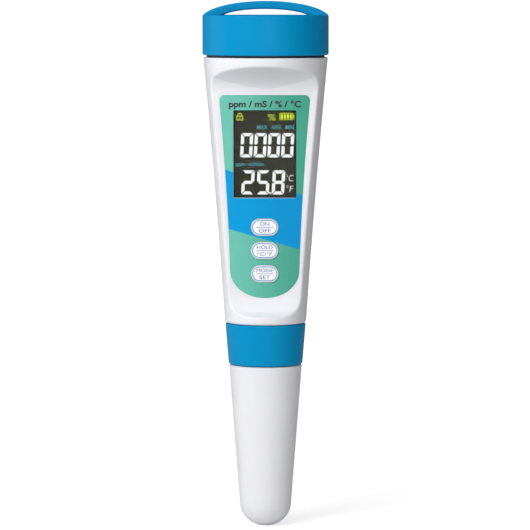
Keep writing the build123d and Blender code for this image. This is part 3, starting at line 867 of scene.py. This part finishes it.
LEGENDS = {
    "power": (("ON", 3.2), ("OFF", 4.2)),
    "hold": (("HOLD", 5.6), ("°C/°F", 5.2)),
    "mode": (("MODE", 5.8), ("SET", 3.8)),
}
LEGEND_HEIGHT = 1.25
LEGEND_RISE = 1.22
RULE_WIDTH = 6.0
RULE_HEIGHT = 0.16
for key, (upper, lower) in LEGENDS.items():
    sheet = key_sheets[key]
    printed = [
        words(f"{key}_upper", *upper, LEGEND_HEIGHT, (0, LEGEND_RISE), sheet),
        words(f"{key}_lower", *lower, LEGEND_HEIGHT, (0, -LEGEND_RISE), sheet),
    ]
    rule = start(f"{key}_rule", "cube", size=1, scale=(RULE_WIDTH * MM, RULE_HEIGHT * MM, INK))
    printed.append(lay(rule, sheet))
    legend = join(printed, f"{key}_legend")
    hand_over(legend, "ink_blue", f"{key}_button")

# %% [markdown]
# ## What the display shows
# The digits are built as on the real glass, from separate bars. Four bars are modelled:
# one for the top, one for the middle and two for the sides, cut back at one end more than
# at the other. Each digit is the set of bars that its number lights, and it leans a little.

# %% Mix the light and define a bar
DIGIT_LEAN = 0.055
BAR = 1.14 * MM
BAR_GAP = 0.19 * MM
BAR_CORNER = 0.32 * MM
BLUNT_CUT = 0.25
BAR_THICKNESS = 0.04 * MM


def glow(color):
    """Paint for a lit mark on dark glass, a little uneven in brightness."""
    def paint(position):
        uneven = position.noise(0.8 * MM, 2).smooth(0.2, 0.9)
        dimmer = tuple(channel * 0.94 for channel in color[:3]) + (1.0,)
        return {"Emission_Color": uneven.mix(color, dimmer), "Roughness": uneven * 0.1 + 0.4}
    return paint


LIT_COLORS = {
    "lit_white": srgb(246, 246, 244),
    "lit_lime": srgb(222, 246, 20),
    "lit_yellow": srgb(190, 206, 30),
    "lit_olive": srgb(200, 218, 36),
    "lit_teal": srgb(64, 160, 166),
}
for name, color in LIT_COLORS.items():
    new_material(
        name, glow(color), Base_Color=srgb(30, 30, 28), Emission_Strength=1.0, Specular_IOR_Level=0.1
    )


def bar(name, length, cuts, pointed=False):
    """One bar of a digit, lying across with its outer side up, cut back at each inner end."""
    made = start(name, "plane", size=1)
    with editing(made, "EDGE"):
        bpy.ops.mesh.select_all(action="SELECT")
        bpy.ops.transform.resize(value=(length, BAR, 1))
        if pointed:
            pick(made, lambda middle: abs(middle.x) > length * 0.4)
            bpy.ops.mesh.subdivide(number_cuts=1)
            bpy.ops.mesh.select_mode(type="VERT")
            pick(made, lambda corner: abs(corner.y) > BAR * 0.4)
            bpy.ops.transform.resize(value=(1 - 2 * cuts[0] / length, 1, 1))
        else:
            bpy.ops.mesh.select_mode(type="VERT")
            for side, cut in zip((-1, 1), cuts):
                pick(made, lambda corner: corner.y < 0 and corner.x * side > 0)
                bpy.ops.transform.translate(value=(-side * cut, 0, 0))
            pick(made, lambda corner: corner.y > 0)
            bpy.ops.mesh.bevel(offset=BAR_CORNER, segments=2, affect="VERTICES")
        bpy.ops.mesh.select_mode(type="FACE")
        thicken((0, 0, BAR_THICKNESS))
    return made


print("lit colours:", sorted(LIT_COLORS))

# %% Define a digit
# The bars are lettered clockwise from the top, with g in the middle
LIT_BARS = {"0": "abcdef", "2": "abged", "5": "afgcd", "8": "abcdefg"}


def digit(name, number, width, height, place):
    """A seven-bar digit on the display's sheet, in metres."""
    half = height / 2
    across = width - 2 * BAR_GAP
    side = half - 2 * BAR_GAP
    top = bar("bar_top", across, (BAR, BAR))
    cut_first = bar("bar_cut_first", side, (BAR, BLUNT_CUT * BAR))
    cut_last = bar("bar_cut_last", side, (BLUNT_CUT * BAR, BAR))
    middle = bar("bar_middle", across - BAR * 0.5, (BAR / 2, BAR / 2), pointed=True)
    rise = half - BAR / 2
    run = width / 2 - BAR / 2
    places = {
        "a": (top, 0, (0, rise)),
        "d": (top, HALF_A_TURN, (0, -rise)),
        "g": (middle, 0, (0, 0)),
        "b": (cut_first, -QUARTER_TURN, (run, half / 2)),
        "c": (cut_last, -QUARTER_TURN, (run, -half / 2)),
        "f": (cut_last, QUARTER_TURN, (-run, half / 2)),
        "e": (cut_first, QUARTER_TURN, (-run, -half / 2)),
    }
    lit = []
    for letter in LIT_BARS[number]:
        model, angle, (x, y) = places[letter]
        made = copy_of(model, f"{name}_{letter}")
        made.data.transform(Matrix.Translation((x, y, 0)) @ Matrix.Rotation(angle, 4, "Z"))
        lit.append(made)
    for model in (top, cut_first, cut_last, middle):
        bpy.data.objects.remove(model)
    made = join(lit, name)
    lean = Matrix.Identity(4)
    lean[0][1] = DIGIT_LEAN
    return lay(made, display_sheet @ Matrix.Translation((*place, 0)) @ lean)


def digit_row(name, numbers, size, first, pitch):
    """A row of digits, from the first one's middle on, at an even pitch."""
    return [
        digit(f"{name}_{place}", number, *size, (first[0] + pitch * place, first[1]))
        for place, number in enumerate(numbers)
    ]


print("bars of each number:", LIT_BARS)

# %% Light the two rows
READING_SIZE = (4.28 * MM, 8.65 * MM)
READING_START = (-6.49 * MM, 3.05 * MM)
READING_PITCH = 4.857 * MM
reading = digit_row("reading", "0000", READING_SIZE, READING_START, READING_PITCH)
TEMPERATURE_SIZE = (4.45 * MM, 8.61 * MM)
TEMPERATURE_START = (-6.05 * MM, -10.16 * MM)
TEMPERATURE_PITCH = 5.42 * MM
temperature = digit_row("temperature", "258", TEMPERATURE_SIZE, TEMPERATURE_START, TEMPERATURE_PITCH)
POINT_PLACE = (1.86 * MM, -14.0 * MM)
POINT_RADIUS = 0.36 * MM
point = start("decimal_point", "cylinder", vertices=24, radius=POINT_RADIUS, depth=BAR_THICKNESS)
with editing(point):
    pick(point, lambda middle: middle.z > BAR_THICKNESS * 0.4)
    bpy.ops.mesh.bevel(offset=BAR_THICKNESS * 0.4, segments=1)
lay(point, display_sheet @ Matrix.Translation((*POINT_PLACE, BAR_THICKNESS / 2)))
display_digits = join([*reading, *temperature, point], "display_digits")
hand_over(display_digits, "lit_white", "casing")

# %% [markdown]
# ## Small signs on the display
# Signs for a lock, the charge of the cells and the units stand beside the digits. Each is
# a flat outline a few hundredths of a millimetre thick: rings are toruses cut in half,
# frames are plates with their middle inset and taken out.


# %% Define a plate
SIGN_LINE = 0.30 * MM


def plate(name, size, place, radius=0.0, line=0.0):
    """A thin rounded plate, or a frame of that outline where a line's width is given."""
    made = start(name, "plane", size=1)
    with editing(made, "VERT"):
        bpy.ops.mesh.select_all(action="SELECT")
        bpy.ops.transform.resize(value=(*size, 1))
        if radius:
            bpy.ops.mesh.bevel(offset=radius, segments=4, affect="VERTICES")
        bpy.ops.mesh.select_mode(type="FACE")
        if line:
            bpy.ops.mesh.select_all(action="SELECT")
            bpy.ops.mesh.inset(thickness=line)
            bpy.ops.mesh.delete(type="FACE")
        thicken((0, 0, BAR_THICKNESS))
    return lay(made, Matrix.Translation((*place, 0)))


print("signs are drawn with a line of", round(SIGN_LINE / MM, 2), "mm")

# %% Draw the lock
LOCK = (-8.95 * MM, 13.1 * MM)
LOCK_BODY_SIZE = (2.4 * MM, 1.6 * MM)
LOCK_BODY_ROUND = 0.25 * MM
LOCK_BODY_DROP = 0.42 * MM
KEYHOLE_SIZE = (0.34 * MM, 0.6 * MM)
KEYHOLE_ROUND = 0.15 * MM
SHACKLE_RADIUS = 0.75 * MM
SHACKLE_STRETCH = 1.25
SHACKLE_RISE = 0.33 * MM
body_place = (LOCK[0], LOCK[1] - LOCK_BODY_DROP)
lock_body = plate("lock_body", LOCK_BODY_SIZE, body_place, LOCK_BODY_ROUND, SIGN_LINE)
lock_hole = plate("lock_hole", KEYHOLE_SIZE, body_place, KEYHOLE_ROUND)
shackle = start(
    "lock_shackle",
    "torus",
    major_radius=SHACKLE_RADIUS,
    minor_radius=SIGN_LINE / 2,
    major_segments=32,
    minor_segments=8,
)
with editing(shackle):
    bpy.ops.mesh.select_all(action="SELECT")
    bpy.ops.transform.resize(value=(1, SHACKLE_STRETCH, BAR_THICKNESS / SIGN_LINE))
    bpy.ops.mesh.bisect(plane_co=(0, 0, 0), plane_no=(0, 1, 0), clear_inner=True, use_fill=True)
lay(shackle, Matrix.Translation((LOCK[0], LOCK[1] + SHACKLE_RISE, BAR_THICKNESS / 2)))
lock = lay(join([lock_body, lock_hole, shackle], "lock_sign"), display_sheet)
hand_over(lock, "lit_olive", "casing")

# %% Draw the charge of the cells
CHARGE = (7.6 * MM, 13.3 * MM)
CHARGE_SIZE = (4.9 * MM, 2.5 * MM)
CHARGE_ROUND = 0.2 * MM
CHARGE_TIP_SIZE = (0.4 * MM, 1.3 * MM)
CHARGE_BARS = 4
CHARGE_BAR_SIZE = (0.72 * MM, 1.45 * MM)
CHARGE_BAR_PITCH = 1.06 * MM
tip_place = (CHARGE[0] + (CHARGE_SIZE[0] + CHARGE_TIP_SIZE[0]) / 2, CHARGE[1])
charge_case = [
    plate("charge_frame", CHARGE_SIZE, CHARGE, CHARGE_ROUND, SIGN_LINE),
    plate("charge_tip", CHARGE_TIP_SIZE, tip_place),
]
hand_over(lay(join(charge_case, "charge_case"), display_sheet), "lit_yellow", "casing")
charge_bars = []
for place in range(CHARGE_BARS):
    across = CHARGE[0] + (place - (CHARGE_BARS - 1) / 2) * CHARGE_BAR_PITCH
    charge_bars.append(plate(f"charge_bar_{place}", CHARGE_BAR_SIZE, (across, CHARGE[1])))
hand_over(lay(join(charge_bars, "charge_bars"), display_sheet), "lit_lime", "casing")

# %% Set the units and the small words
percent = words("percent_sign", "%", 2.7, 2.2, (2.45, 13.0), display_sheet)
hand_over(percent, "lit_olive", "casing")
degree_signs = [
    words("celsius_sign", "°C", 2.7, 2.1, (8.8, -8.7), display_sheet, bold=-0.015, slant=0.1),
    words("fahrenheit_sign", "°F", 2.6, 2.1, (8.8, -12.5), display_sheet, bold=-0.015, slant=0.1),
]
hand_over(join(degree_signs, "degree_signs"), "lit_white", "casing")
small_words = [
    words("range_words", "MAX   AVG   MIN", 13.0, 1.4, (3.75, 9.45), display_sheet, bold=0.01),
    words("unit_words", "ppm  mS/cm", 9.9, 1.35, (-5.4, -3.6), display_sheet, bold=0.01),
]
hand_over(join(small_words, "small_words"), "lit_teal", "casing")

# %% [markdown]
# ## Floor
# The pen stands on a plain pale floor that runs up into a backdrop without an edge. The
# floor takes the light and the shadow as any white sheet does. To the camera it also
# gives off a little light of its own, so that it shows white without more lamp light.

# %% Lay the floor and the backdrop
FLOOR_REACH = 3.0
BACKDROP_HEIGHT = 2.0
BACKDROP_ROUND = 1.0
PAPER_COLOR = (0.8, 0.8, 0.8, 1)
NEAR_LIFT = 0.65
floor = start("floor", "plane", size=2 * FLOOR_REACH)
with editing(floor, "EDGE"):
    pick(floor, lambda middle: middle.y > FLOOR_REACH * 0.9)
    bpy.ops.mesh.extrude_region_move(TRANSFORM_OT_translate={"value": (0, 0, BACKDROP_HEIGHT)})
    bpy.ops.mesh.select_mode(type="EDGE")
    pick(floor, lambda middle: middle.y > FLOOR_REACH * 0.9 and middle.z < 0.01)
    bpy.ops.mesh.bevel(offset=BACKDROP_ROUND, segments=12)
bpy.ops.object.shade_smooth()

sheet_white = bpy.data.materials.new("floor_white")
sheet_white.use_nodes = True
tree = sheet_white.node_tree
tree.nodes.clear()
ground = Shade(tree, None).node("ShaderNodeTexCoord", "Object")
away = ground.node("ShaderNodeVectorMath", "Value", {"operation": "LENGTH"}, i0=ground)
far = away.smooth(0.2, 1.0)
paper = ground.node("ShaderNodeBsdfDiffuse", Color=PAPER_COLOR)
lift = ground.node(
    "ShaderNodeEmission", Strength=seen_directly(tree) * (far * (1 - NEAR_LIFT) + NEAR_LIFT)
)
both = tree.nodes.new("ShaderNodeAddShader")
tree.links.new(paper.value, both.inputs[0])
tree.links.new(lift.value, both.inputs[1])
end = tree.nodes.new("ShaderNodeOutputMaterial")
tree.links.new(both.outputs[0], end.inputs["Surface"])
floor.data.materials.append(sheet_white)
print("floor laid")
